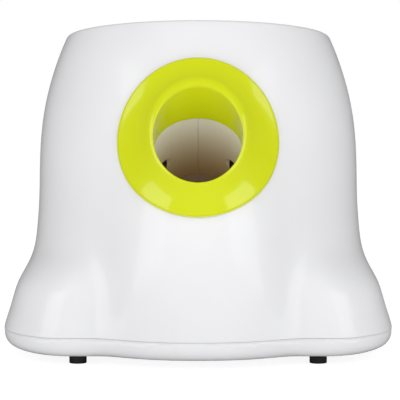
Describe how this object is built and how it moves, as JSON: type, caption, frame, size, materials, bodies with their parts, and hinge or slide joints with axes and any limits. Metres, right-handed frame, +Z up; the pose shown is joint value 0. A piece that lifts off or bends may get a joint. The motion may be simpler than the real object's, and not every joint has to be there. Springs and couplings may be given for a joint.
{
  "type": "automatic dog ball launcher",
  "caption": "Tower-shaped automatic ball launcher with a top hopper, an angled round launch mouth in a bright ring, flared feet and a sprung striker wound by a geared motor inside.",
  "frame": {"origin": "on the floor under the middle of the base", "axes": "+Z up, the launch mouth faces -Y, x = 0 is the mirror plane"},
  "size_m": [0.2522, 0.2539, 0.2153],
  "materials": {
    "white_gloss": "gloss, moulded",
    "lime_gloss": "gloss, moulded",
    "off_white": "satin, moulded",
    "grey_plastic": "satin, moulded",
    "dark_grey": "fine grain",
    "black_plastic": "satin, moulded",
    "black_gloss": "gloss, moulded",
    "black_rubber": "matt",
    "nylon": "satin, moulded",
    "zinc": "zinc plated",
    "spring_steel": "drawn wire",
    "motor_steel": "pressed can",
    "brass": "machined",
    "cell_wrap": "printed sleeve, unmarked",
    "board_green": "solder mask",
    "dark_lens": "infrared tinted",
    "lens_clear": "clear, diffused",
    "lead_red": "insulated wire",
    "lead_black": "insulated wire",
    "lead_grey": "insulated wire"
  },
  "bodies": {
    "housing": {"upper_shell": "white_gloss", "base_tray": "white_gloss", "hopper_bowl": "white_gloss", "launch_ring": "lime_gloss", "ring_retainer": "grey_plastic", "chute_left": "off_white", "chute_right": "off_white", "chute_screws": "zinc", "chute_mount_screws": "zinc", "ir_emitter": "dark_lens", "ir_receiver": "dark_lens", "ball_seat": "black_rubber", "striker_end_cap": "grey_plastic", "end_cap_screws": "zinc", "gearbox_left_plate": "grey_plastic", "gearbox_right_plate": "grey_plastic", "gearbox_spacers": "zinc", "gearbox_screws": "zinc", "gearbox_mount_screws": "zinc", "sector_axle": "zinc", "reduction_axle": "zinc", "axle_clips": "spring_steel", "motor": "motor_steel", "motor_screws": "zinc", "motor_end_cap": "black_plastic", "motor_terminals": "brass", "battery_cells": "cell_wrap", "battery_contacts": "zinc", "battery_springs": "spring_steel", "rubber_feet": "black_rubber", "base_screws": "zinc", "rear_panel": "dark_grey", "indicator_lenses": "lens_clear", "control_board": "board_green", "tactile_switch": "black_plastic", "board_screws": "zinc", "rocker_housing": "black_plastic", "rocker_terminals": "brass", "dc_jack": "black_plastic", "cocking_sensor": "black_plastic", "motor_leads": "lead_red", "battery_leads": "lead_black", "sensor_leads": "lead_grey", "ring_screws": "zinc", "striker_spring": "spring_steel"},
    "striker": {"striker": "nylon", "striker_bumper": "black_rubber"},
    "sector": {"sector_gear": "nylon"},
    "reduction": {"reduction_gear": "nylon"},
    "pinion": {"motor_pinion": "brass"},
    "button": {"mode_button": "lime_gloss"},
    "rocker": {"power_rocker": "black_gloss"},
    "door": {"battery_door": "white_gloss"}
  },
  "joints": [
    {"name": "striker_slide", "type": "slide", "parent": "housing", "child": "striker", "axis": [0, 0.7071, -0.7071], "range_m": [0, 0.022], "stiffness_N_per_m": 600, "springref_m": -0.006, "deforming": ["striker_spring"]},
    {"name": "sector_turn", "type": "hinge", "parent": "housing", "child": "sector", "pos_m": [0, 0.029, 0.06718], "axis": [1, 0, 0], "range_deg": [0, 93.37]},
    {"name": "reduction_turn", "type": "hinge", "parent": "housing", "child": "reduction", "pos_m": [0, 0.05342, 0.07149], "axis": [1, 0, 0], "range_deg": [-389.06, 0]},
    {"name": "motor_turn", "type": "hinge", "parent": "housing", "child": "pinion", "pos_m": [0, 0.05823, 0.08945], "axis": [1, 0, 0], "range_deg": [0, 1333.88]},
    {"name": "mode_press", "type": "slide", "parent": "housing", "child": "button", "axis": [0, -1, 0], "range_m": [0, 0.0009], "stiffness_N_per_m": 900},
    {"name": "rocker_tilt", "type": "hinge", "parent": "housing", "child": "rocker", "pos_m": [-0.022, 0.111, 0.059], "axis": [1, 0, 0], "range_deg": [-16, 0]},
    {"name": "battery_door_out", "type": "slide", "parent": "housing", "child": "door", "axis": [0, 0, -1], "range_m": [0, 0.03]}
  ],
  "couplings": [
    {"joint": "sector_turn", "follows": "striker_slide", "rad_per_m": 74.074},
    {"joint": "reduction_turn", "follows": "striker_slide", "rad_per_m": -308.64},
    {"joint": "motor_turn", "follows": "striker_slide", "rad_per_m": 1058.2}
  ]
}
